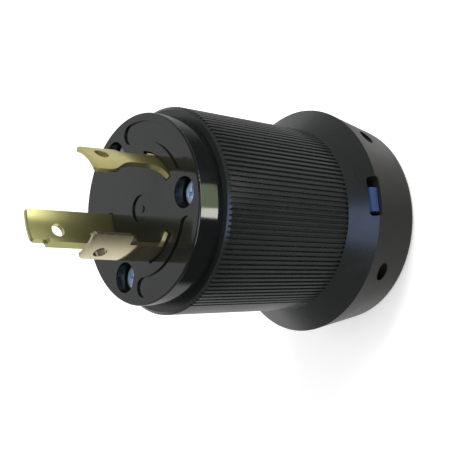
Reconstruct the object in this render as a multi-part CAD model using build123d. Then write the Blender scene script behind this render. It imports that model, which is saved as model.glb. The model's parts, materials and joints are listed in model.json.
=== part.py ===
from build123d import *
from math import cos, degrees, radians, sin, sqrt, tan
import os

# Three blade twist locking plug, standing on its flat rear end.
# +Z runs along the plug to the blades, and z = 0 is the rear end.
# Angles are about Z: the window of the cord clamp looks along -Y (-90 degrees).

os.makedirs("parts", exist_ok=True)

# Overall sizes in mm
body_length = 70.0            # rear end to blade face
face_radius = 24.0            # front cap at the face
ring_rear_radius = 23.7       # front cap where it meets the housing
barrel_rear_radius = 24.3     # ribbed barrel where the flare starts
barrel_taper = 1.9            # how much wider the barrel is at its front shoulder
rim_radius = 29.85            # flare rim, the widest place
rear_taper = 3.35             # how much smaller the rear cap is by its rounded rear edge
rear_edge_fillet = 2.2
rear_edge_draft = 0.6         # how much the flat end is smaller than the rear radius
rear_edge_share = 0.7         # rounding of the rear edge, as a share of its height
face_edge_fillet = 0.5

# Lengths along the axis
ring_height = 7.2             # front cap ahead of the housing
spigot_height = 5.8           # front cap inside the housing mouth
retainer_thickness = 1.8
base_height = 12.2
flare_height = 5.6            # from the barrel to the rim
cap_height = 16.6             # rear end to the rim
bulkhead_thickness = 2.5
bulkhead_above_rim = 5.6      # rim to the rear side of the bulkhead

# Walls and fits
barrel_wall = 2.8
inner_fit = 0.2               # radial room round the parts inside the barrel
cap_wall = 2.4
cap_floor = 2.6
joint_overlap = 2.6           # housing spigot inside the rear cap
joint_wall = 2.0
joint_fit = 0.15
socket_step = 0.6             # straight wall at each end of the flare's inside
wall_bite = 0.5               # how far inner ribs and bosses run into the wall
shoulder_chamfer = 0.8

# Ribs of the barrel
rib_pitch_deg = 3.0
groove_width = 0.70
groove_floor_width = 0.36
groove_depth = 0.50
smooth_half_deg = 13.0        # half width of each smooth strip
groove_runout = 1.0           # cutter length past the shoulder

# Assembly screws, on one circle
screw_circle_room = 3.5       # screw circle to the wall of the barrel
screw_angles = (-90.0, 30.0, 150.0)
screw_shank = 1.9
screw_head_radius = 3.5
screw_head_height = 2.4
screw_length = 31.0
screw_recess_radius = 3.86
screw_sink = 2.8              # face to the top of the screw head
screw_room = 0.2
screw_tip_room = 1.0
screw_head_edge = 0.9
cross_reach = 2.0             # middle of the head to the end of each cross arm
cross_width = 0.9
cross_depth = 1.3
boss_radius = 4.2
insert_radius = 3.0

# Blades: angles are from each blade's middle, heights are above the face
blade_outer = 13.9
blade_thickness = 1.4
hot_angle = -41.3
neutral_angle = -149.2
ground_angle = 102.8
line_blade_height = 20.9      # hot and neutral
ground_blade_height = 25.2
blade_hole_radius = 1.8
blade_hole_height = 16.7
blade_tip_round = 0.9
tip_bevel_height = 1.1        # long bevel on the outer side of the tip
tip_bevel_depth = 0.35
tip_inner_bevel = 0.3
slot_inner_room = 0.4
slot_outer_room = 0.45
slot_end_room_deg = 1.3
shoulder_deg = 4.0            # how far the shank widens under the retainer
foot_width = 9.0
foot_inner = 5.6
foot_gap = 1.55               # retainer to the foot
root_step = 0.5               # face to the lower edge of the locking notch
neck_top = 9.9                # upper edge of the locking notch of hot and neutral

# Hot blade, with a curved trailing edge
hot_root_deg = 26.5
hot_neck_lead_deg = 10.0
hot_neck_trail_deg = 11.4
hot_head_lead_deg = 20.8
hot_head_trail_deg = 24.3
hot_hole_deg = -0.5
hot_notch_sink = 0.6          # the notch of the hot blade runs down into its slot
sweep_bend = (16.7, 1.4)      # middle of the curve from the root to the neck
sweep_end = 5.6
slope_start = 8.6
slope_middle = (18.6, 13.4)
slope_end = 17.0

# Neutral blade, with a straight trailing edge
neutral_lead_deg = 21.0
neutral_trail_deg = 22.0
neutral_neck_lead_deg = 5.2
neutral_head_lead_deg = 16.0
neutral_hole_deg = -7.8

# Ground blade, with a bent toe on its leading edge
ground_lead_deg = 24.0
ground_trail_deg = 19.5
ground_tip_lead_deg = 18.5
ground_neck_deg = 5.0
ground_neck_top = 7.4
ground_hole_deg = 4.0
toe_top = 21.2                # height where the bent toe ends
toe_inner = 11.9
toe_corner_share = 0.85       # rounding of the toe's corner, as a share of its step

# Terminals
terminal_radius = 9.5
terminal_screw_shank = 1.95
terminal_head_radius = 3.0
terminal_head_height = 2.3
terminal_head_edge = 0.6
driver_slot_width = 1.0
driver_slot_depth = 1.1
plate_thickness = 1.2
plate_length = 7.6
plate_width = 8.0
wire_gap = 1.5
pocket_room = 0.7
pocket_floor = 3.4
wire_slot_width = 5.2

# Marks on the face
mark_depth = 0.5
mark_inner = 17.0
mark_outer = 22.0
mark_middles = (-30.0, 210.0)
mark_half_deg = 42.5
gate_radius = 3.5             # sunk disc in the middle, where the mould was filled
gate_depth = 0.45
gate_pip_radius = 0.9
gate_pip_height = 0.25

# Cord clamp
cord_bore = 11.5
clamp_axis_z = 10.4
clamp_screw_inset = 8.4       # from the rear radius to the clamp screws
clamp_screw_shank = 1.75
clamp_screw_room = 0.25
clamp_thread_room = 0.06
clamp_head_radius = 2.7
clamp_head_height = 2.0
driver_hole_radius = 2.0
jaw_height = 8.6
jaw_arc = 11.7
jaw_past_screw = 3.8
fixed_jaw_past_screw = 5.5
head_wall_room = 0.54         # clamp screw heads to the wall of the rear cap
jaw_back = 3.4                # thicker middle of the moving jaw behind that seat
jaw_back_room = 2.5           # clamp screw heads to that thicker middle
fixed_jaw_inner = 4.2
fixed_jaw_back = 16.0
jaw_web = 1.5                 # jaw wall in front of the nut
nut_thickness = 2.6
nut_across_flats = 6.4
nut_room = 0.1
thread_past_nut = 0.6
jaw_travel = 7.6              # from wide open until the jaws nearly meet
jaws_apart = 1.6              # what stays between them when they are closed
jaw_lift = 0.1
jaw_wall_room = 0.5
jaw_side_room = 0.3
rail_width = 5.0
rail_half_length = 17.0
stop_thickness = 1.6
stop_room = 0.1
window_width = 10.4
window_height = 2.9
window_below_rim = 1.1        # rim down to the lower edge of the window
window_corner = 1.0
tongue_width = 6.3
tongue_offset = -0.8          # the tongue sits a little off the middle of the window
tongue_room = 0.25
tongue_sink = 1.25            # rim down to the end of the tongue

# Dust seal
seal_room = 0.3               # dust seal to the screw bosses
seal_ledge = 1.0              # how far the bulkhead reaches under the seal
seal_thickness = 1.4
seal_hole = 6.5
seal_lip = 1.0

# Radii worked out from the sizes above
barrel_front_radius = barrel_rear_radius + barrel_taper
rear_radius = rim_radius - rear_taper
cavity_radius = barrel_rear_radius - barrel_wall
inner_radius = cavity_radius - inner_fit
screw_circle = cavity_radius - screw_circle_room
blade_inner = blade_outer - blade_thickness
seal_radius = screw_circle - boss_radius - seal_room
bulkhead_hole = seal_radius - seal_ledge
clamp_screw_x = rear_radius - clamp_screw_inset
jaw_half_length = clamp_screw_x + jaw_past_screw
fixed_jaw_half_length = clamp_screw_x + fixed_jaw_past_screw
toe_corner = toe_corner_share * blade_inner * radians(ground_lead_deg - ground_tip_lead_deg)

# Heights worked out from the sizes above
face_z = body_length
ring_rear_z = face_z - ring_height
spigot_rear_z = ring_rear_z - spigot_height
retainer_rear_z = spigot_rear_z - retainer_thickness
base_rear_z = retainer_rear_z - base_height
rim_z = cap_height
flare_front_z = rim_z + flare_height
bulkhead_rear_z = rim_z + bulkhead_above_rim
bulkhead_front_z = bulkhead_rear_z + bulkhead_thickness
foot_top_z = retainer_rear_z - foot_gap
foot_rear_z = foot_top_z - blade_thickness
plate_top_z = foot_rear_z - wire_gap
plate_rear_z = plate_top_z - plate_thickness
pocket_rear_z = base_rear_z + pocket_floor
screw_seat_z = face_z - screw_sink - screw_head_height
screw_tip_z = screw_seat_z - screw_length
rail_top_z = clamp_axis_z - jaw_height / 2 - jaw_lift
jaw_top_z = clamp_axis_z + jaw_height / 2


def cap_inner_radius(z):
    """Inner wall of the rear cap at a height."""
    low = rear_radius - cap_wall
    high = rim_radius - cap_wall
    return low + (high - low) * (z - cap_floor) / (cap_height - cap_floor)


def seat_of_screw_heads():
    """Distance from the middle at which the clamp screw heads just clear the wall of the rear cap."""
    reach = cap_inner_radius(clamp_axis_z)
    head_side = clamp_screw_x + clamp_head_radius
    return sqrt(reach ** 2 - head_side ** 2) - clamp_head_height - head_wall_room


moving_jaw_inner = jaw_travel + jaws_apart - fixed_jaw_inner
moving_jaw_seat = seat_of_screw_heads()
moving_jaw_back = moving_jaw_seat + jaw_back


def upright(radius, low, high, x=0.0, y=0.0):
    """Cylinder along Z between two heights."""
    return Pos(x, y, (low + high) / 2) * Cylinder(radius, high - low)


def block(x_low, x_high, y_low, y_high, z_low, z_high):
    """Box between two corners."""
    middle = Pos((x_low + x_high) / 2, (y_low + y_high) / 2, (z_low + z_high) / 2)
    return middle * Box(x_high - x_low, y_high - y_low, z_high - z_low)


def along_y(radius, x, z, y_low, y_high):
    """Cylinder along Y between two places."""
    return Pos(x, (y_low + y_high) / 2, z) * Rot(90, 0, 0) * Cylinder(radius, y_high - y_low)


def turned(points):
    """Solid of revolution about Z from an outline of (radius, z) points."""
    outline = Plane.XZ * make_face(Polyline(*points, close=True))
    return revolve(outline, Axis.Z)


def ring_sector(inner, outer, middle_deg, half_deg, low, high):
    """Piece of a tube with ends cut towards the axis."""
    reach = outer * 2
    start = radians(middle_deg - half_deg)
    end = radians(middle_deg + half_deg)
    tip_a = (reach * cos(start), reach * sin(start))
    tip_b = (reach * cos(end), reach * sin(end))
    wedge = extrude(Pos(0, 0, low) * make_face(Polyline((0, 0), tip_a, tip_b, close=True)), high - low)
    return (upright(outer, low, high) - upright(inner, low, high)) & wedge


def at_screws(shape):
    """Copies of a shape modelled on the axis, set on the assembly screw circle."""
    turn = [Rot(0, 0, angle) * Pos(screw_circle, 0, 0) for angle in screw_angles]
    return [place * shape for place in turn]


# Front cap

def blade_slot(lead_deg, trail_deg, low, high):
    """Arc slot for a blade whose middle is on +X."""
    middle = (lead_deg - trail_deg) / 2
    half = (lead_deg + trail_deg) / 2 + slot_end_room_deg
    inner = blade_inner - slot_inner_room
    outer = blade_outer + slot_outer_room
    return ring_sector(inner, outer, middle, half, low, high)


def toe_slot(low, high):
    """Widening of the ground slot for the bent toe."""
    toe_low = -blade_thickness - slot_inner_room
    widening = block(toe_inner - slot_inner_room, blade_inner, toe_low, slot_outer_room, low, high)
    return Rot(0, 0, ground_lead_deg) * widening


def all_slots(low, high):
    """The three blade slots in their places."""
    hot = blade_slot(hot_root_deg, hot_root_deg, low, high)
    neutral = blade_slot(neutral_lead_deg, neutral_trail_deg, low, high)
    ground = blade_slot(ground_lead_deg, ground_trail_deg, low, high) + toe_slot(low, high)
    turned_slots = ((hot_angle, hot), (neutral_angle, neutral), (ground_angle, ground))
    return [Rot(0, 0, angle) * slot for angle, slot in turned_slots]


def face_mark(middle_deg):
    """Sunk curved field between two screws, with rounded ends."""
    field_middle = (mark_inner + mark_outer) / 2
    end_radius = (mark_outer - mark_inner) / 2
    low = face_z - mark_depth
    high = face_z + mark_depth
    end_deg = mark_half_deg - degrees(end_radius / field_middle)
    field = ring_sector(mark_inner, mark_outer, middle_deg, end_deg, low, high)
    for side in (-1, 1):
        turn = Rot(0, 0, middle_deg + side * end_deg)
        field += turn * Pos(field_middle, 0, 0) * upright(end_radius, low, high)
    return field


def front_cap():
    """Face plate with its smooth ring and the spigot inside the housing."""
    cap = turned([
        (0, spigot_rear_z),
        (inner_radius, spigot_rear_z),
        (inner_radius, ring_rear_z),
        (ring_rear_radius, ring_rear_z),
        (face_radius, face_z),
        (0, face_z),
    ])
    cap = fillet(cap.edges().group_by(Axis.Z)[-1], face_edge_fillet)
    cap -= all_slots(spigot_rear_z, face_z)
    cap -= at_screws(upright(screw_recess_radius, screw_seat_z, face_z))
    cap -= at_screws(upright(screw_shank + screw_room, spigot_rear_z, screw_seat_z))
    cap -= upright(gate_radius, face_z - gate_depth, face_z)
    cap += upright(gate_pip_radius, face_z - gate_depth, face_z - gate_depth + gate_pip_height)
    for middle in mark_middles:
        cap -= face_mark(middle)
    return cap


# Blades

def smooth(*points):
    """Curve that starts and ends along the plug's axis."""
    return Spline(*points, tangents=[(0, 1), (0, 1)])


def sheet_section(strokes, x):
    """Blade outline at one distance from the axis, widened in step with it."""
    lines = Curve()
    for kind, points in strokes:
        lines += kind(*[(x * tan(radians(angle)), height) for angle, height in points])
    outline = make_face(lines)
    outline = fillet(outline.vertices().group_by(Axis.Y)[-1], blade_tip_round)
    return Plane.YZ.offset(x) * outline


def blade_sheet(strokes, top):
    """Curved sheet cut to an outline, with both edges of its tip bevelled."""
    shell = turned([
        (blade_inner, foot_rear_z),
        (blade_outer, foot_rear_z),
        (blade_outer, top - tip_bevel_height),
        (blade_outer - tip_bevel_depth, top),
        (blade_inner + tip_inner_bevel, top),
        (blade_inner, top - tip_inner_bevel),
    ])
    near = sheet_section(strokes, blade_inner - blade_thickness)
    far = sheet_section(strokes, blade_outer + blade_thickness)
    return shell & loft([near, far], ruled=True)


def shank_points(lead_deg, trail_deg):
    """Outline inside the plug, with the shoulders that the retainer holds down."""
    return [
        (lead_deg, retainer_rear_z),
        (lead_deg + shoulder_deg, retainer_rear_z),
        (lead_deg + shoulder_deg, foot_rear_z),
        (-trail_deg - shoulder_deg, foot_rear_z),
        (-trail_deg - shoulder_deg, retainer_rear_z),
        (-trail_deg, retainer_rear_z),
    ]


def blade_hole(offset_deg):
    """Round hole through the head of a blade."""
    hole = Pos(blade_outer, 0, face_z + blade_hole_height) * Rot(0, 90, 0)
    return Rot(0, 0, offset_deg) * hole * Cylinder(blade_hole_radius, blade_outer / 2)


def blade_foot():
    """Flat foot inside the plug, with the hole of the terminal screw."""
    half = foot_width / 2
    foot = block(foot_inner, blade_inner + blade_thickness / 2, -half, half, foot_rear_z, foot_top_z)
    return foot - upright(terminal_screw_shank, foot_rear_z, foot_top_z, terminal_radius)


def hot_blade():
    """Blade with a wide root, a curved neck and a hooked head, its middle on +X."""
    tip = face_z + line_blade_height
    neck_start = (-hot_neck_trail_deg, face_z + sweep_end)
    neck_end = (-hot_neck_trail_deg, face_z + slope_start)
    head_start = (-hot_head_trail_deg, face_z + slope_end)
    front = [
        head_start,
        (-hot_head_trail_deg, tip),
        (hot_head_lead_deg, tip),
        (hot_head_lead_deg, face_z + neck_top),
        (hot_neck_lead_deg, face_z + neck_top),
        (hot_neck_lead_deg, face_z - hot_notch_sink),
        (hot_root_deg, face_z - hot_notch_sink),
    ]
    strokes = [
        (Polyline, front + shank_points(hot_root_deg, hot_root_deg) + [(-hot_root_deg, face_z)]),
        (ThreePointArc, [(-hot_root_deg, face_z), (-sweep_bend[0], face_z + sweep_bend[1]), neck_start]),
        (Line, [neck_start, neck_end]),
        (smooth, [neck_end, (-slope_middle[0], face_z + slope_middle[1]), head_start]),
    ]
    return blade_sheet(strokes, tip) + blade_foot() - blade_hole(hot_hole_deg)


def neutral_blade():
    """Blade with a straight trailing edge and a hooked head, its middle on +X."""
    tip = face_z + line_blade_height
    front = [
        (-neutral_trail_deg, tip),
        (neutral_head_lead_deg, tip),
        (neutral_head_lead_deg, face_z + neck_top),
        (neutral_neck_lead_deg, face_z + neck_top),
        (neutral_neck_lead_deg, face_z + root_step),
        (neutral_lead_deg, face_z + root_step),
    ]
    outline = front + shank_points(neutral_lead_deg, neutral_trail_deg) + front[:1]
    return blade_sheet([(Polyline, outline)], tip) + blade_foot() - blade_hole(neutral_hole_deg)


def ground_toe():
    """Edge of the ground blade bent in towards the axis."""
    middle = blade_inner + blade_thickness / 2
    toe = block(toe_inner, middle, -blade_thickness, 0, face_z + ground_neck_top, face_z + toe_top)
    return Rot(0, 0, ground_lead_deg) * toe


def ground_blade():
    """Longer blade with a bent toe on its leading edge, its middle on +X."""
    tip = face_z + ground_blade_height
    front = [
        (-ground_trail_deg, tip),
        (ground_tip_lead_deg, tip),
        (ground_tip_lead_deg, face_z + toe_top),
        (ground_lead_deg, face_z + toe_top),
        (ground_lead_deg, face_z + ground_neck_top),
        (ground_neck_deg, face_z + ground_neck_top),
        (ground_neck_deg, face_z + root_step),
        (ground_lead_deg, face_z + root_step),
    ]
    outline = front + shank_points(ground_lead_deg, ground_trail_deg) + front[:1]
    blade = blade_sheet([(Polyline, outline)], tip) + ground_toe()
    corner = blade.edges().filter_by(GeomType.LINE).filter_by_position(
        Axis.Z, face_z + toe_top, face_z + toe_top).sort_by(Axis.Y)[-1]
    return fillet(corner, toe_corner) + blade_foot() - blade_hole(ground_hole_deg)


# Parts inside the barrel

def blade_retainer():
    """Insulating disc that holds the blade shoulders down."""
    disc = upright(inner_radius, retainer_rear_z, spigot_rear_z)
    disc -= all_slots(retainer_rear_z, spigot_rear_z)
    disc -= at_screws(upright(screw_shank + screw_room, retainer_rear_z, spigot_rear_z))
    return disc


def terminal_pocket(lead_deg, trail_deg):
    """Room for one blade foot, its clamp plate and its screw, middle on +X."""
    half = foot_width / 2 + pocket_room
    middle = (lead_deg - trail_deg) / 2
    half_deg = (lead_deg + trail_deg) / 2 + shoulder_deg + slot_end_room_deg
    inner = blade_inner - slot_inner_room
    outer = blade_outer + slot_outer_room
    shank = ring_sector(inner, outer, middle, half_deg, foot_rear_z - pocket_room, retainer_rear_z)
    foot = block(foot_inner - pocket_room, blade_outer, -half, half, pocket_rear_z, retainer_rear_z)
    slot_half = wire_slot_width / 2
    wire_start = foot_inner + slot_half
    wire_end = terminal_radius + slot_half
    wire = block(wire_start, wire_end, -slot_half, slot_half, base_rear_z, pocket_rear_z)
    wire += upright(slot_half, base_rear_z, pocket_rear_z, wire_start)
    wire += upright(slot_half, base_rear_z, pocket_rear_z, wire_end)
    return shank + foot + wire


def terminal_base():
    """Moulded block that carries the three terminals."""
    base = upright(inner_radius, base_rear_z, retainer_rear_z)
    base -= Rot(0, 0, hot_angle) * terminal_pocket(hot_root_deg, hot_root_deg)
    base -= Rot(0, 0, neutral_angle) * terminal_pocket(neutral_lead_deg, neutral_trail_deg)
    base -= Rot(0, 0, ground_angle) * terminal_pocket(ground_lead_deg, ground_trail_deg)
    base -= at_screws(upright(screw_shank + screw_room, base_rear_z, retainer_rear_z))
    return base


def terminal_screw():
    """Binding screw from the rear through the clamp plate into the foot, middle on +X."""
    head_low = plate_rear_z - terminal_head_height
    head = upright(terminal_head_radius, head_low, plate_rear_z, terminal_radius)
    head = fillet(head.edges().group_by(Axis.Z)[0], terminal_head_edge)
    shank = upright(terminal_screw_shank, plate_rear_z, foot_top_z, terminal_radius)
    half = driver_slot_width / 2
    slot = block(0, terminal_radius * 2, -half, half, head_low, head_low + driver_slot_depth)
    return head + shank - slot


def pressure_plate():
    """Small clamp plate over the conductor, middle on +X."""
    half_length = plate_length / 2
    half_width = plate_width / 2
    low_x = terminal_radius - half_length
    high_x = terminal_radius + half_length
    plate = block(low_x, high_x, -half_width, half_width, plate_rear_z, plate_top_z)
    lip_top_z = plate_top_z + wire_gap / 2
    for side in (low_x, high_x - plate_thickness):
        plate += block(side, side + plate_thickness, -half_width, half_width, plate_top_z, lip_top_z)
    return plate - upright(terminal_screw_shank, plate_rear_z, plate_top_z, terminal_radius)


def assembly_screws():
    """Three long screws from the face into the inserts of the housing."""
    head_top_z = face_z - screw_sink
    head = upright(screw_head_radius, screw_seat_z, head_top_z)
    head = fillet(head.edges().group_by(Axis.Z)[-1], screw_head_edge)
    shank = upright(screw_shank, screw_tip_z, screw_seat_z)
    half = cross_width / 2
    arm = block(-cross_reach, cross_reach, -half, half, head_top_z - cross_depth, head_top_z)
    screw = head + shank - arm - Rot(0, 0, 90) * arm
    return Compound(children=at_screws(screw))


def thread_inserts():
    """Three brass inserts moulded into the bosses of the housing."""
    sleeve = upright(insert_radius, screw_tip_z, base_rear_z)
    sleeve -= upright(screw_shank, screw_tip_z, base_rear_z)
    return Compound(children=at_screws(sleeve))


def dust_seal():
    """Soft disc on the bulkhead that closes round the cord."""
    top = bulkhead_front_z + seal_thickness
    return turned([
        (seal_hole, bulkhead_front_z),
        (seal_radius, bulkhead_front_z),
        (seal_radius, top),
        (seal_hole + seal_lip, top),
        (seal_hole + seal_lip, top + seal_lip),
        (seal_hole, top + seal_lip),
    ])


# Housing

def barrel_radius(z):
    """Outer radius of the barrel at a height."""
    share = (z - flare_front_z) / (ring_rear_z - flare_front_z)
    return barrel_rear_radius + (barrel_front_radius - barrel_rear_radius) * share


def rib_grooves():
    """Tapered grooves all round the barrel, apart from the two smooth strips."""
    def section(z):
        floor = barrel_radius(z) - groove_depth
        top = floor + 2 * groove_depth
        half_floor = groove_floor_width / 2
        half_top = groove_width - half_floor
        corners = [(floor, -half_floor), (top, -half_top), (top, half_top), (floor, half_floor)]
        return Pos(0, 0, z) * make_face(Polyline(*corners, close=True))

    groove = loft([section(flare_front_z), section(ring_rear_z + groove_runout)], ruled=True)
    count = int((180 - 2 * smooth_half_deg) / rib_pitch_deg)
    first = 90 - (count - 1) * rib_pitch_deg / 2
    angles = [first + step * rib_pitch_deg for step in range(count)]
    return [Rot(0, 0, angle + side) * groove for side in (0, 180) for angle in angles]


def clamp_window():
    """Opening at the rim that shows the clamp's tongue."""
    half = window_width / 2
    low = rim_z - window_below_rim
    opening = block(-half, half, -rim_radius, -cord_bore, low, low + window_height)
    return fillet(opening.edges().filter_by(Axis.Y), window_corner)


def rear_housing():
    """Ribbed barrel and flare in one moulding, with three screw bosses inside."""
    socket_outer = rim_radius - cap_wall - joint_fit
    socket_inner = socket_outer - joint_wall
    body = turned([
        (cavity_radius, bulkhead_front_z),
        (cavity_radius, ring_rear_z),
        (barrel_front_radius - shoulder_chamfer, ring_rear_z),
        (barrel_radius(ring_rear_z - shoulder_chamfer), ring_rear_z - shoulder_chamfer),
        (barrel_rear_radius, flare_front_z),
        (rim_radius, rim_z),
        (socket_outer, rim_z),
        (socket_outer, rim_z - joint_overlap),
        (socket_inner, rim_z - joint_overlap),
        (socket_inner, rim_z + socket_step),
        (cavity_radius, bulkhead_rear_z - socket_step),
        (cavity_radius, bulkhead_rear_z),
        (bulkhead_hole, bulkhead_rear_z),
        (bulkhead_hole, bulkhead_front_z),
    ])
    boss = upright(boss_radius, bulkhead_front_z, base_rear_z)
    bore = upright(insert_radius, screw_tip_z, base_rear_z)
    bore += upright(screw_shank + screw_room, screw_tip_z - screw_tip_room, base_rear_z)
    limit = upright(cavity_radius + wall_bite, bulkhead_front_z, base_rear_z)
    body += [boss & limit for boss in at_screws(boss)]
    body -= at_screws(bore)
    body -= rib_grooves()
    return body - clamp_window()


# Rear cap and cord clamp

def rear_cap():
    """Dome that closes the rear, with the cord entry and the clamp rails."""
    mouth_radius = rim_radius - cap_wall
    mouth_z = rim_z - joint_overlap - joint_fit
    cap = turned([
        (cord_bore, 0),
        (rear_radius - rear_edge_draft, 0),
        (rear_radius, rear_edge_fillet),
        (rim_radius, rim_z),
        (mouth_radius, rim_z),
        (mouth_radius, mouth_z),
        (cap_inner_radius(mouth_z), mouth_z),
        (cap_inner_radius(cap_floor), cap_floor),
        (cord_bore, cap_floor),
    ])
    rear_edge = cap.edges().filter_by(GeomType.CIRCLE).group_by(Axis.Z)[0].sort_by(SortBy.RADIUS)[-1]
    cap = fillet(rear_edge, rear_edge_fillet * rear_edge_share)
    inside = turned([
        (0, cap_floor),
        (cap_inner_radius(cap_floor) + wall_bite, cap_floor),
        (cap_inner_radius(jaw_top_z) + wall_bite, jaw_top_z),
        (0, jaw_top_z),
    ])
    half = rail_width / 2
    for side in (-1, 1):
        x = side * clamp_screw_x
        rail = block(x - half, x + half, -rail_half_length, rail_half_length, cap_floor, rail_top_z)
        cap += (rail & inside) - upright(cord_bore, 0, rim_z)
        stop_x = jaw_half_length + jaw_side_room
        low_x, high_x = sorted((side * stop_x, side * mouth_radius))
        high_y = fixed_jaw_inner - stop_room
        cap += block(low_x, high_x, high_y - stop_thickness, high_y, cap_floor, mouth_z) & inside
        cap -= along_y(driver_hole_radius, x, clamp_axis_z, -rim_radius, -moving_jaw_seat)
    return cap - clamp_window()


def jaw_plan_limit():
    """Round limit that keeps the jaws off the wall of the rear cap."""
    return upright(cap_inner_radius(rail_top_z) - jaw_wall_room, rail_top_z, rim_z + window_height)


def moving_clamp_jaw():
    """Jaw that the clamp screws draw along +Y, with the tongue in the window."""
    low = rail_top_z + jaw_lift
    jaw = block(-jaw_half_length, jaw_half_length, -moving_jaw_seat, -moving_jaw_inner, low, jaw_top_z)
    middle = clamp_screw_x - clamp_head_radius - jaw_back_room
    jaw += block(-middle, middle, -moving_jaw_back, -moving_jaw_inner, low, jaw_top_z)
    jaw -= upright(jaw_arc, low, jaw_top_z)
    jaw &= jaw_plan_limit()
    tongue_low = rim_z - window_below_rim + tongue_room
    tongue_top = tongue_low + window_height - 2 * tongue_room
    x_low = tongue_offset - tongue_width / 2
    x_high = tongue_offset + tongue_width / 2
    jaw += block(x_low, x_high, tongue_sink - rim_radius, -jaw_arc, tongue_low, tongue_top)
    jaw += block(x_low, x_high, -moving_jaw_back, -jaw_arc, low, tongue_top)
    for side in (-1, 1):
        x = side * clamp_screw_x
        jaw -= along_y(clamp_screw_shank + clamp_screw_room, x, clamp_axis_z, -moving_jaw_seat, 0)
    return jaw


def hexagon_y(across_flats, x, z, y_low, y_high):
    """Hexagonal prism along Y."""
    outline = RegularPolygon(across_flats / 2, 6, major_radius=False)
    return Pos(x, y_high, z) * Rot(90, 0, 0) * extrude(outline, y_high - y_low)


def fixed_clamp_jaw():
    """Jaw that stays against its stops and holds the two nuts."""
    half = fixed_jaw_half_length
    jaw = block(-half, half, fixed_jaw_inner, fixed_jaw_back, rail_top_z, jaw_top_z)
    jaw -= upright(jaw_arc, rail_top_z, jaw_top_z)
    jaw &= jaw_plan_limit()
    nut_low = fixed_jaw_inner + jaw_web
    for side in (-1, 1):
        x = side * clamp_screw_x
        jaw -= along_y(clamp_screw_shank + clamp_screw_room, x, clamp_axis_z, 0, fixed_jaw_back)
        jaw -= hexagon_y(nut_across_flats + 2 * nut_room, x, clamp_axis_z, nut_low, fixed_jaw_back)
    return jaw


def clamp_screws():
    """Two screws that draw the jaws together."""
    tip = fixed_jaw_inner + jaw_web + nut_thickness + thread_past_nut
    head_low = -moving_jaw_seat - clamp_head_height
    half_slot = driver_slot_width / 2
    slot_low = clamp_axis_z - half_slot
    slot_high = clamp_axis_z + half_slot
    screws = []
    for side in (-1, 1):
        x = side * clamp_screw_x
        head = along_y(clamp_head_radius, x, clamp_axis_z, head_low, -moving_jaw_seat)
        shank = along_y(clamp_screw_shank, x, clamp_axis_z, -moving_jaw_seat, tip)
        low_x = x - clamp_head_radius
        high_x = x + clamp_head_radius
        slot = block(low_x, high_x, head_low, head_low + driver_slot_depth, slot_low, slot_high)
        screws.append(head + shank - slot)
    return Compound(children=screws)


def clamp_nuts():
    """Two nuts in the fixed jaw."""
    low = fixed_jaw_inner + jaw_web
    nuts = []
    for side in (-1, 1):
        x = side * clamp_screw_x
        nut = hexagon_y(nut_across_flats, x, clamp_axis_z, low, low + nut_thickness)
        thread = along_y(clamp_screw_shank + clamp_thread_room, x, clamp_axis_z, 0, fixed_jaw_back)
        nuts.append(nut - thread)
    return Compound(children=nuts)


parts = {
    "front_cap": front_cap(),
    "blade_retainer": blade_retainer(),
    "terminal_base": terminal_base(),
    "ground_blade": Rot(0, 0, ground_angle) * ground_blade(),
    "neutral_blade": Rot(0, 0, neutral_angle) * neutral_blade(),
    "hot_blade": Rot(0, 0, hot_angle) * hot_blade(),
    "assembly_screws": assembly_screws(),
    "thread_inserts": thread_inserts(),
    "dust_seal": dust_seal(),
    "rear_housing": rear_housing(),
    "rear_cap": rear_cap(),
    "moving_clamp_jaw": moving_clamp_jaw(),
    "fixed_clamp_jaw": fixed_clamp_jaw(),
    "clamp_screws": clamp_screws(),
    "clamp_nuts": clamp_nuts(),
}
for pole, angle in (("ground", ground_angle), ("neutral", neutral_angle), ("hot", hot_angle)):
    parts[pole + "_terminal_screw"] = Rot(0, 0, angle) * terminal_screw()
    parts[pole + "_pressure_plate"] = Rot(0, 0, angle) * pressure_plate()

for name, shape in parts.items():
    export_step(shape, "parts/" + name + ".step")
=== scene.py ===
import json
import math

import bpy
from mathutils import Matrix, Vector

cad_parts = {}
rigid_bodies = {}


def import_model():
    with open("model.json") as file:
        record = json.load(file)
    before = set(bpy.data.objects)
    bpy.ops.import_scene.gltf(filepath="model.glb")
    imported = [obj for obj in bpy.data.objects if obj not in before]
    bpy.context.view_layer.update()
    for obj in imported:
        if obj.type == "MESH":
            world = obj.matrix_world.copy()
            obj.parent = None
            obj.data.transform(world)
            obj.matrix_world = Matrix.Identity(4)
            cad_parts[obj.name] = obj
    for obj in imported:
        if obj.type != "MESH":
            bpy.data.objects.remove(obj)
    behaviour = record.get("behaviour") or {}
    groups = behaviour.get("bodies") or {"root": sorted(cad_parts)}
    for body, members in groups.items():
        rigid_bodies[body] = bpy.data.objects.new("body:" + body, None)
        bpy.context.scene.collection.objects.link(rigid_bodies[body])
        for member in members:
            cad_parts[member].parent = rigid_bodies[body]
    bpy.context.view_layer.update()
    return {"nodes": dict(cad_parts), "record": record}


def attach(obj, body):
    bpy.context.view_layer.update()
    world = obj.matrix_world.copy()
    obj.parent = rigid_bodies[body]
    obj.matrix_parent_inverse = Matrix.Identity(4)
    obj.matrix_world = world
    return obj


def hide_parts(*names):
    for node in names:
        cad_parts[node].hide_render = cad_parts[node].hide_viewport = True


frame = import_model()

# Twist locking power plug on its flat rear end, in metres, +Z towards the blades.
mm = 0.001
scene = bpy.context.scene
scene.view_settings.view_transform = "Standard"
print("stage: frame loaded,", len(frame["nodes"]), "nodes")

# Camera: a long lens from the front left, with the plug's axis along the picture's width

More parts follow.
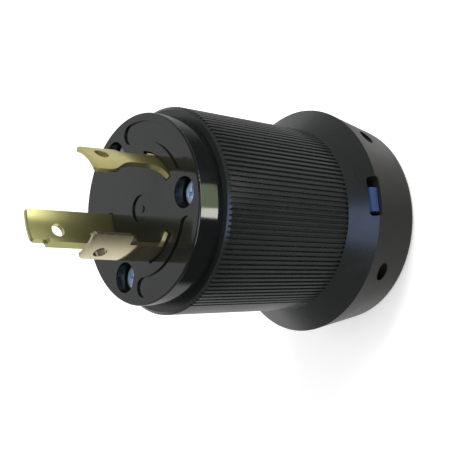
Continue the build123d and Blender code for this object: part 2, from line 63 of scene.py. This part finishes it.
cameraSet = {
    "place": (-0.0750, -0.2761, 0.2717),
    "lookAt": (-0.002517, 0.000659, 0.042952),
    "pictureUp": (0.97563, -0.21342, 0.05099),
    "lens": 113.06,
    "sensor": 36.0,
    "nearest": 0.01,
    "farthest": 10.0,
}


def makeCamera(choice):
    data = bpy.data.cameras.new("photoCamera")
    data.lens = choice["lens"]
    data.sensor_width = choice["sensor"]
    data.clip_start = choice["nearest"]
    data.clip_end = choice["farthest"]
    camera = bpy.data.objects.new("photoCamera", data)
    scene.collection.objects.link(camera)
    place = Vector(choice["place"])
    back = (place - Vector(choice["lookAt"])).normalized()
    right = Vector(choice["pictureUp"]).cross(back).normalized()
    up = back.cross(right)
    turn = Matrix((right, up, back)).transposed().to_4x4()
    camera.matrix_world = Matrix.Translation(place) @ turn
    scene.camera = camera


makeCamera(cameraSet)
print("stage: camera set")


# Small helpers for the materials

noiseReach = (0.3, 0.7)  # a noise texture seldom leaves this range


def hexColour(text):
    values = [int(text[place:place + 2], 16) / 255 for place in (1, 3, 5)]
    linear = [v / 12.92 if v <= 0.04045 else ((v + 0.055) / 1.055) ** 2.4 for v in values]
    return (*linear, 1.0)


def addNode(tree, kind, settings=None, links=None):
    node = tree.nodes.new(kind)
    for name, value in (settings or {}).items():
        if isinstance(name, int) or name in node.inputs:
            node.inputs[name].default_value = value
        else:
            setattr(node, name, value)
    for name, source in (links or {}).items():
        tree.links.new(source, node.inputs[name])
    return node


def newMaterial(name):
    material = bpy.data.materials.new(name)
    material.use_nodes = True
    tree = material.node_tree
    tree.nodes.clear()
    return material, tree


def finishMaterial(tree, shader):
    addNode(tree, "ShaderNodeOutputMaterial", links={"Surface": shader.outputs[0]})


def noiseOf(tree, spacing, detail=3.0, stretch=(1, 1, 1)):
    place = addNode(tree, "ShaderNodeTexCoord")
    mapping = addNode(tree, "ShaderNodeMapping", {"Scale": stretch}, {"Vector": place.outputs["Object"]})
    settings = {"Scale": 1 / (spacing * mm), "Detail": detail}
    return addNode(tree, "ShaderNodeTexNoise", settings, {"Vector": mapping.outputs[0]})


def twoColours(tree, noise, first, second):
    settings = {"data_type": "RGBA", 6: hexColour(first), 7: hexColour(second)}
    return addNode(tree, "ShaderNodeMix", settings, {0: noise.outputs[0]}).outputs[2]


def spread(tree, noise, low, high):
    settings = {"From Min": noiseReach[0], "From Max": noiseReach[1], "To Min": low, "To Max": high}
    return addNode(tree, "ShaderNodeMapRange", settings, {"Value": noise.outputs[0]}).outputs[0]


def bumpOf(tree, noise, height):
    settings = {"Strength": 1.0, "Distance": height * mm}
    return addNode(tree, "ShaderNodeBump", settings, {"Height": noise.outputs[0]}).outputs[0]


# Moulded pieces. Sizes are in mm: how wide the mould's faint clouds and its grain are, and the
# height of the grain, which is drawn coarser than the real one so that it shows.

# nylon from a polished mould: black, and clear enough to mirror the blades
faceNylon = {
    "colour": "#0e1010", "cloud": "#121514", "cloudSize": 9.0,
    "rough": (0.08, 0.12), "grain": 0.35, "bump": 0.004,
}
# nylon from a plain mould: the ribs and the flare have a broad, soft shine
ribNylon = {
    "colour": "#161a18", "cloud": "#1d211f", "cloudSize": 7.0,
    "rough": (0.22, 0.30), "grain": 0.30, "bump": 0.003,
}
# nylon from a finely etched mould: the dome and the inner block are satin, a little warmer
capNylon = {
    "colour": "#1a1a17", "cloud": "#21211d", "cloudSize": 8.0,
    "rough": (0.28, 0.38), "grain": 0.30, "bump": 0.02,
}
# nylon dyed blue: the clamp jaws are dull, with a deep colour
jawNylon = {
    "colour": "#253762", "cloud": "#2b3e6c", "cloudSize": 5.0,
    "rough": (0.35, 0.45), "grain": 0.30, "bump": 0.02,
}
# vulcanised fibre, punched from sheet: a matt grey disc with short fibres
fibreLook = {
    "colour": "#4a463e", "cloud": "#5a554a", "cloudSize": 3.0,
    "rough": (0.7, 0.85), "grain": 0.4, "bump": 0.03,
}
# moulded rubber: black without shine
rubberLook = {
    "colour": "#151516", "cloud": "#1b1b1c", "cloudSize": 4.0,
    "rough": (0.55, 0.7), "grain": 0.4, "bump": 0.02,
}
plasticIor = 1.53


def mouldedFinish(name, look):
    material, tree = newMaterial(name)
    cloud = noiseOf(tree, look["cloudSize"])
    grain = noiseOf(tree, look["grain"], 2.0)
    shader = addNode(tree, "ShaderNodeBsdfPrincipled", {"IOR": plasticIor}, {
        "Base Color": twoColours(tree, cloud, look["colour"], look["cloud"]),
        "Roughness": spread(tree, cloud, *look["rough"]),
        "Normal": bumpOf(tree, grain, look["bump"])})
    finishMaterial(tree, shader)
    return material


# Metal pieces. Sizes are in mm: the spacing of the rolling or turning lines, drawn coarser than
# the real ones so that they show, and their height. The tarnish lies in patches.

# brass, stamped from rolled strip: a dull gold with a broad shine
bladeBrass = {"colour": "#cfc480", "tarnish": "#b8b07a", "rough": (0.28, 0.34), "lines": 0.25, "bump": 0.002}
# the same brass on the ground blade, tinted greener: a painted reflection of the face beside it
reflectionTintedBrass = {"colour": "#cdc683", "tarnish": "#b4b37c", "rough": (0.28, 0.34), "lines": 0.25, "bump": 0.002}
# nickel plating over brass: smooth and warm grey, it mirrors what is around it
bladeNickel = {"colour": "#bdb497", "tarnish": "#a69d80", "rough": (0.06, 0.10), "lines": 0.25, "bump": 0.001}
# zinc plating over steel: pale and bluish, with a frosted shine
zincPlate = {"colour": "#e4ecf6", "tarnish": "#b9c8da", "rough": (0.34, 0.44), "lines": 0.3, "bump": 0.01}
# brass turned from bar: brighter and yellower than the stamped brass
turnedBrass = {"colour": "#d8bf78", "tarnish": "#b09a5a", "rough": (0.2, 0.3), "lines": 0.3, "bump": 0.01}
# chromated steel: the green of a ground terminal's screw
greenScrew = {"colour": "#2c8040", "tarnish": "#1f6030", "rough": (0.3, 0.4), "lines": 0.3, "bump": 0.01}
metalSet = {
    "metallic": 0.94,
    "tarnishSize": 4.0,
    "lineStretch": (1, 1, 0.03),  # the lines run along the plug
}


def metalFinish(name, look):
    material, tree = newMaterial(name)
    tarnish = noiseOf(tree, metalSet["tarnishSize"])
    lines = noiseOf(tree, look["lines"], 2.0, metalSet["lineStretch"])
    shader = addNode(tree, "ShaderNodeBsdfPrincipled", {"Metallic": metalSet["metallic"]}, {
        "Base Color": twoColours(tree, tarnish, look["colour"], look["tarnish"]),
        "Roughness": spread(tree, tarnish, *look["rough"]),
        "Normal": bumpOf(tree, lines, look["bump"])})
    finishMaterial(tree, shader)
    return material


# One finish for each material slot of the frame, and one for the ground blade alone
finishes = {
    "face_nylon": mouldedFinish("gloss moulded nylon", faceNylon),
    "housing_nylon": mouldedFinish("ribbed moulded nylon", ribNylon),
    "cap_nylon": mouldedFinish("satin moulded nylon", capNylon),
    "base_nylon": mouldedFinish("inner moulded nylon", capNylon),
    "jaw_blue": mouldedFinish("blue moulded nylon", jawNylon),
    "retainer_fibre": mouldedFinish("vulcanised fibre", fibreLook),
    "seal_rubber": mouldedFinish("moulded rubber", rubberLook),
    "blade_brass": metalFinish("stamped brass", bladeBrass),
    "blade_nickel": metalFinish("nickel plated brass", bladeNickel),
    "zinc_steel": metalFinish("zinc plated steel", zincPlate),
    "nickel_screw": metalFinish("nickel plated screw", bladeNickel),
    "brass_screw": metalFinish("turned brass screw", turnedBrass),
    "insert_brass": metalFinish("turned brass insert", turnedBrass),
    "green_screw": metalFinish("green chromated screw", greenScrew),
}
# the ground blade alone takes the brass with the painted green reflection of the face
ownFinish = {"ground_blade": metalFinish("brass with painted reflection", reflectionTintedBrass)}
slotOf = {part["node"]: part["material_slot"] for part in frame["record"]["subparts"]}
bodyOf = {node: body for body, nodes in frame["record"]["behaviour"]["bodies"].items() for node in nodes}
for node, piece in frame["nodes"].items():
    piece.data.materials.clear()
    piece.data.materials.append(ownFinish.get(node, finishes[slotOf[node]]))
print("stage: materials made")


# The seen pieces get the small rounded edges that moulded and stamped pieces have.
# Sizes are in mm and angles in degrees.

edgeOf = {
    "front_cap": 0.12,
    "rear_housing": 0.12,
    "rear_cap": 0.20,
    "hot_blade": 0.12,
    "neutral_blade": 0.12,
    "ground_blade": 0.12,
    "assembly_screws": 0.10,
    "moving_clamp_jaw": 0.20,
}
roundingSet = {
    "mergeWithin": 0.002,
    "flatWithin": 0.4,
    "segments": 2,
    "sharpBeyond": 35,
    "smoothWithin": 32,
}
normalSet = {
    "flatTilt": 0.03,  # less lean than this, as a share: the face is flat across the plug
    "radialShare": 0.09,  # less turn from the radius than this: the face is turned about the axis
    "blendWithin": 50,
}


def turnedNormal(face, corner):
    # the normal that the real surface has there: flat, turned about the plug's axis, or the face's own
    normal = face.normal
    tilt = math.hypot(normal.x, normal.y)
    if tilt < normalSet["flatTilt"]:
        return Vector((0, 0, math.copysign(1, normal.z)))
    middle = Vector((face.center.x, face.center.y, 0)).normalized()
    if abs(middle.x * normal.y - middle.y * normal.x) > normalSet["radialShare"] * tilt:
        return normal.copy()
    outward = Vector((corner.x, corner.y, 0)).normalized() * math.copysign(tilt, middle.dot(normal))
    return Vector((outward.x, outward.y, normal.z))


def settleNormals(mesh):
    # wide faces lead, so the narrow rounded edges blend into them and leave them flat
    wanted = []
    around = [[] for vertex in mesh.vertices]
    for face in mesh.polygons:
        for place in face.vertices:
            normal = turnedNormal(face, mesh.vertices[place].co)
            wanted.append((place, normal))
            around[place].append((normal, face.area))
    widest = math.cos(math.radians(normalSet["blendWithin"]))
    settled = []
    for place, normal in wanted:
        total = Vector()
        for other, area in around[place]:
            if normal.dot(other) > widest:
                total += other * area
        settled.append(total.normalized())
    mesh.normals_split_custom_set(settled)


def roundEdges(node, edge):
    bpy.ops.object.select_all(action="DESELECT")
    source = frame["nodes"][node]
    piece = source.copy()
    piece.data = source.data.copy()
    piece.name = node + "_rounded"
    scene.collection.objects.link(piece)
    bpy.context.view_layer.objects.active = piece
    piece.select_set(True)
    bpy.ops.object.mode_set(mode="EDIT")
    bpy.ops.mesh.select_all(action="SELECT")
    bpy.ops.mesh.remove_doubles(threshold=roundingSet["mergeWithin"] * mm)
    bpy.ops.mesh.dissolve_limited(angle_limit=math.radians(roundingSet["flatWithin"]))
    bpy.ops.object.mode_set(mode="OBJECT")
    bevel = piece.modifiers.new("edges", "BEVEL")
    bevel.width = edge * mm
    bevel.segments = roundingSet["segments"]
    bevel.limit_method = "ANGLE"
    bevel.angle_limit = math.radians(roundingSet["sharpBeyond"])
    bevel.use_clamp_overlap = True
    bpy.ops.object.modifier_apply(modifier="edges")
    bpy.ops.object.shade_smooth_by_angle(angle=math.radians(roundingSet["smoothWithin"]))
    settleNormals(piece.data)
    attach(piece, bodyOf[node])
    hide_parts(node)


for node, edge in edgeOf.items():
    roundEdges(node, edge)
print("stage: edges rounded")


# Floor, background and lamps

# The way that the camera looks, along the floor, and the way to its right
alongFloor = Vector((1, 1, 0))
cameraHeading = (Vector(cameraSet["lookAt"]) - Vector(cameraSet["place"])) * alongFloor
awayFromCamera = cameraHeading.normalized()
rightOfCamera = awayFromCamera.cross(Vector((0, 0, 1)))

# A white floor that keeps the plug's shadow. Glossy pieces see painted reflections on it instead: a glow
# with dark and bright zones that stand in for a studio's dark flags and bright cards, brightness by the
# direction from the plug, in degrees from the camera's side to the right, for three zones of the floor, from
# the foot of the plug outwards.
floorSet = {
    "size": 3.0,
    "drop": 0.05,  # mm under the rear end
    "colour": "#f4f4f4",
    "glow": 0.36,
    "foot": [
        (-180, 0.60), (-110, 0.60), (-80, 0.55), (-60, 0.55), (-35, 0.38), (10, 0.26), (40, 0.50),
        (60, 0.75), (80, 0.50), (110, 0.45), (180, 0.60),
    ],
    "middle": [
        (-180, 0.60), (-110, 0.60), (-93, 0.80), (-84, 0.03), (84, 0.05), (98, 0.22), (115, 0.40),
        (180, 0.60),
    ],
    "beyond": [
        (-180, 0.62), (-120, 1.30), (-107, 1.15), (-90, 0.95), (-80, 0.70), (-67, 0.38), (-56, 0.18),
        (-44, 0.10), (4, 0.10), (14, 4.80), (34, 4.80), (48, 0.60), (80, 0.75), (105, 0.90),
        (135, 0.70), (180, 0.62),
    ],
    "borders": [(0.078, 0.086), (0.104, 0.112)],
}
# The world lights the plug evenly, is white to the camera, and is mirrored brighter away from it
worldSet = {
    "light": 0.75,
    "seen": 1.0,
    "mirrored": [
        (-1.0, 0.10), (-0.45, 0.12), (-0.1, 0.22), (0.3, 0.30), (0.62, 0.42), (0.75, 0.72), (1.0, 0.78),
    ],
}


def rampOf(tree, source, low, high, stops):
    share = addNode(tree, "ShaderNodeMapRange", {"From Min": low, "From Max": high}, {"Value": source})
    ramp = addNode(tree, "ShaderNodeValToRGB", {}, {"Fac": share.outputs[0]})
    elements = ramp.color_ramp.elements
    while len(elements) < len(stops):
        elements.new(0.5)
    for element, (place, value) in zip(elements, stops):
        element.position = (place - low) / (high - low)
        element.color = (value, value, value, 1)
    return ramp.outputs["Color"]


def distanceAlong(tree, position, heading):
    settings = {"operation": "DOT_PRODUCT", 1: heading}
    return addNode(tree, "ShaderNodeVectorMath", settings, {0: position}).outputs["Value"]


# painted reflections: the floor's glow for glossy rays, by direction and distance from the plug
def paintedReflectionRound(tree, position, choice):
    back = distanceAlong(tree, position, awayFromCamera)
    front = addNode(tree, "ShaderNodeMath", {"operation": "MULTIPLY", 1: -1.0}, {0: back})
    right = distanceAlong(tree, position, rightOfCamera)
    turn = addNode(tree, "ShaderNodeMath", {"operation": "ARCTAN2"}, {0: right, 1: front.outputs[0]})
    zones = []
    for zone in ("foot", "middle", "beyond"):
        stops = [(math.radians(angle), value) for angle, value in choice[zone]]
        zones.append(rampOf(tree, turn.outputs[0], -math.pi, math.pi, stops))
    distance = addNode(tree, "ShaderNodeVectorMath", {"operation": "LENGTH"}, {0: position})
    tone = zones[0]
    for zone, (near, far) in zip(zones[1:], choice["borders"]):
        share = addNode(tree, "ShaderNodeMapRange", {"From Min": near, "From Max": far}, {
            "Value": distance.outputs["Value"]})
        tone = addNode(tree, "ShaderNodeMix", {"data_type": "RGBA"}, {
            0: share.outputs[0], 6: tone, 7: zone}).outputs[2]
    return tone


def makeFloor(choice):
    bpy.ops.object.select_all(action="DESELECT")
    bpy.ops.mesh.primitive_plane_add(size=choice["size"], location=(0, 0, -choice["drop"] * mm))
    floor = bpy.context.object
    floor.name = "floor"
    material, tree = newMaterial("studio floor")
    path = addNode(tree, "ShaderNodeLightPath")
    paper = addNode(tree, "ShaderNodeBsdfDiffuse", {"Color": hexColour(choice["colour"])})
    seen = addNode(tree, "ShaderNodeMath", {"operation": "MULTIPLY", 1: choice["glow"]}, {
        0: path.outputs["Is Camera Ray"]})
    glow = addNode(tree, "ShaderNodeEmission", {}, {"Strength": seen.outputs[0]})
    direct = addNode(tree, "ShaderNodeAddShader", {}, {0: paper.outputs[0], 1: glow.outputs[0]})
    place = addNode(tree, "ShaderNodeTexCoord")
    # painted reflections: a glow of dark and bright zones on the floor that only glossy rays see
    tone = paintedReflectionRound(tree, place.outputs["Object"], choice)
    mirrored = addNode(tree, "ShaderNodeEmission", {}, {"Color": tone})
    finishMaterial(tree, addNode(tree, "ShaderNodeMixShader", {}, {
        0: path.outputs["Is Glossy Ray"], 1: direct.outputs[0], 2: mirrored.outputs[0]}))
    floor.data.materials.append(material)


def makeWorld(choice):
    world = bpy.data.worlds.new("studio")
    scene.world = world
    world.use_nodes = True
    tree = world.node_tree
    tree.nodes.clear()
    path = addNode(tree, "ShaderNodeLightPath")
    either = addNode(tree, "ShaderNodeMath", {"operation": "MAXIMUM"}, {
        0: path.outputs["Is Camera Ray"], 1: path.outputs["Is Transmission Ray"]})
    strength = addNode(tree, "ShaderNodeMapRange", {"To Min": choice["light"], "To Max": choice["seen"]}, {
        "Value": either.outputs[0]})
    sky = addNode(tree, "ShaderNodeBackground", {"Color": (1, 1, 1, 1)}, {"Strength": strength.outputs[0]})
    heading = addNode(tree, "ShaderNodeTexCoord")
    depth = distanceAlong(tree, heading.outputs["Generated"], awayFromCamera)
    tone = rampOf(tree, depth, -1.0, 1.0, choice["mirrored"])
    mirrored = addNode(tree, "ShaderNodeBackground", {"Strength": 1.0}, {"Color": tone})
    both = addNode(tree, "ShaderNodeMixShader", {}, {
        0: path.outputs["Is Glossy Ray"], 1: sky.outputs[0], 2: mirrored.outputs[0]})
    addNode(tree, "ShaderNodeOutputWorld", links={"Surface": both.outputs[0]})


# Cards that show only as reflections: an aimed one faces a point, and the others lie on the floor,
# turned by some degrees. One that is shown on a piece is mirrored by that piece alone.

# a cool card by the camera: the bluish sheen of the flare
coolCard = {
    "place": (-0.088, -0.336, 0.426), "aim": (0, 0, 0.02), "size": (0.30, 0.22),
    "colour": "#a3b6e8", "power": 3.6,
}
# a card above the plug: the pale glints of the screws in their wells
screwCard = {
    "place": (0.02, 0.05, 0.40), "aim": (0, 0, 0.067), "size": (0.20, 0.20),
    "colour": "#d8f0ff", "power": 4.5, "shownOn": "assembly_screws_rounded",
}
# a small card before the ring: its bright square patch
ringStrip = {
    "place": (-0.0236, -0.0929, 0.001), "turn": -14.7, "size": (0.017, 0.022),
    "colour": "#fffff0", "power": 10.5, "shownOn": "front_cap_rounded",
}
# a wider card beside it: the greenish patch next to the bright one
ringGlow = {
    "place": (0.0055, -0.0986, 0.001), "turn": -14.7, "size": (0.040, 0.030),
    "colour": "#eaffcc", "power": 2.3, "shownOn": "front_cap_rounded",
}
cardSets = {"coolCard": coolCard, "ringStrip": ringStrip, "ringGlow": ringGlow, "screwCard": screwCard}


def makeCard(name, choice):
    bpy.ops.object.select_all(action="DESELECT")
    bpy.ops.mesh.primitive_plane_add(size=1.0)
    card = bpy.context.object
    card.name = name
    card.scale = (*choice["size"], 1)
    card.location = choice["place"]
    if "aim" in choice:
        facing = Vector(choice["aim"]) - Vector(choice["place"])
        card.rotation_euler = facing.to_track_quat("Z", "Y").to_euler()
    else:
        card.rotation_euler = (0, 0, math.radians(choice["turn"]))
    material, tree = newMaterial(name)
    light = {"Color": hexColour(choice["colour"]), "Strength": choice["power"]}
    finishMaterial(tree, addNode(tree, "ShaderNodeEmission", light))
    card.data.materials.append(material)
    card.visible_camera = False
    card.visible_diffuse = False
    card.visible_transmission = False
    card.visible_shadow = False
    if "shownOn" in choice:
        shownOn = bpy.data.collections.new(name)
        shownOn.objects.link(bpy.data.objects[choice["shownOn"]])
        card.light_linking.receiver_collection = shownOn


# A large lamp from the right and a weak one that lifts the side next to the camera
lampSets = {
    "softbox": {"place": (0.35, -0.15, 0.45), "size": 0.35, "power": 3.0, "mirrored": False},
    "frontFill": {"place": (-0.30, -0.45, 0.10), "size": 0.30, "power": 1.0, "mirrored": True},
}
lampAim = (0, 0, 0.05)


def makeLamp(name, choice):
    data = bpy.data.lights.new(name, "AREA")
    data.size = choice["size"]
    data.energy = choice["power"]
    lamp = bpy.data.objects.new(name, data)
    scene.collection.objects.link(lamp)
    lamp.location = choice["place"]
    lamp.visible_glossy = choice["mirrored"]
    facing = Vector(lampAim) - Vector(choice["place"])
    lamp.rotation_euler = facing.to_track_quat("-Z", "Y").to_euler()


makeFloor(floorSet)
makeWorld(worldSet)
for name, choice in lampSets.items():
    makeLamp(name, choice)
for name, choice in cardSets.items():
    makeCard(name, choice)
print("stage: floor, background and lamps set")
